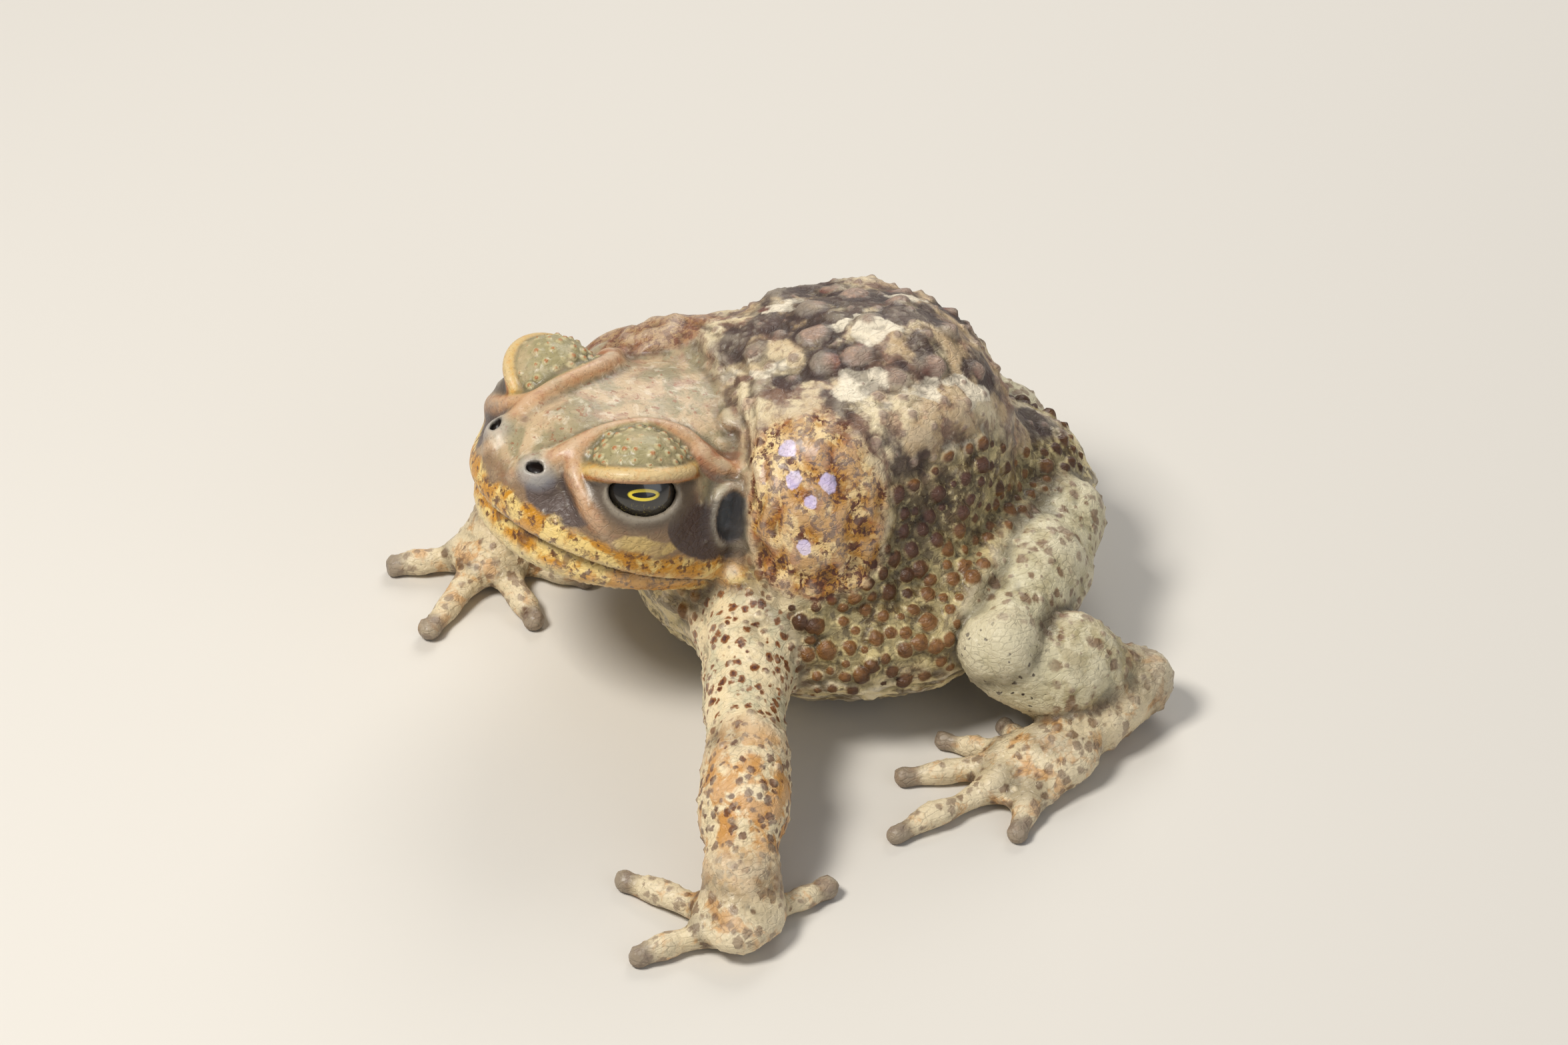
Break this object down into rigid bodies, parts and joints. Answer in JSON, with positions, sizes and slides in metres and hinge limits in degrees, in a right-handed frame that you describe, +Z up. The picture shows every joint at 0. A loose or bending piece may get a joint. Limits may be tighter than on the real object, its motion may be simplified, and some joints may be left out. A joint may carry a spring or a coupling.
{
  "type": "cane toad model",
  "caption": "Life-size still model of an adult cane toad sitting with its head turned to its left and one arm stretched out.",
  "frame": {"origin": "on the floor under the middle of the animal's bounding box", "axes": "+Z up from the floor, the snout towards -Y, the toad's own left side at +X"},
  "size_m": [0.1428, 0.1094, 0.0558],
  "materials": {
    "back_skin": "moist warty skin, grey-brown back with cream and dark patches",
    "gland": "smooth ochre gland skin with dense red-brown specks and pale milky spots",
    "limb_skin": "moist cream to olive-grey skin with brown spots",
    "ear": "smooth slate-grey ear disc with a paler rim",
    "eye": "wet, black-brown iris with gold flecks and a gold-rimmed slit pupil"
  },
  "bodies": {
    "root": {"head": "back_skin", "eye_left": "eye", "tympanum_left": "ear", "eyelid_left": "back_skin", "eye_right": "eye", "tympanum_right": "ear", "eyelid_right": "back_skin", "lower_jaw": "back_skin", "torso": "back_skin", "parotoid_left": "gland", "parotoid_right": "gland", "upper_arm_left": "limb_skin", "forearm_left": "limb_skin", "hand_left": "limb_skin", "finger_left_1": "limb_skin", "finger_left_2": "limb_skin", "finger_left_3": "limb_skin", "finger_left_4": "limb_skin", "upper_arm_right": "limb_skin", "forearm_right": "limb_skin", "hand_right": "limb_skin", "finger_right_1": "limb_skin", "finger_right_2": "limb_skin", "finger_right_3": "limb_skin", "finger_right_4": "limb_skin", "thigh_left": "limb_skin", "shank_left": "limb_skin", "tarsus_left": "limb_skin", "foot_left": "limb_skin", "toe_left_1": "limb_skin", "toe_left_2": "limb_skin", "toe_left_3": "limb_skin", "toe_left_4": "limb_skin", "toe_left_5": "limb_skin", "thigh_right": "limb_skin", "shank_right": "limb_skin", "tarsus_right": "limb_skin", "foot_right": "limb_skin", "toe_right_1": "limb_skin", "toe_right_2": "limb_skin", "toe_right_3": "limb_skin", "toe_right_4": "limb_skin", "toe_right_5": "limb_skin"}
  },
  "joints": []
}
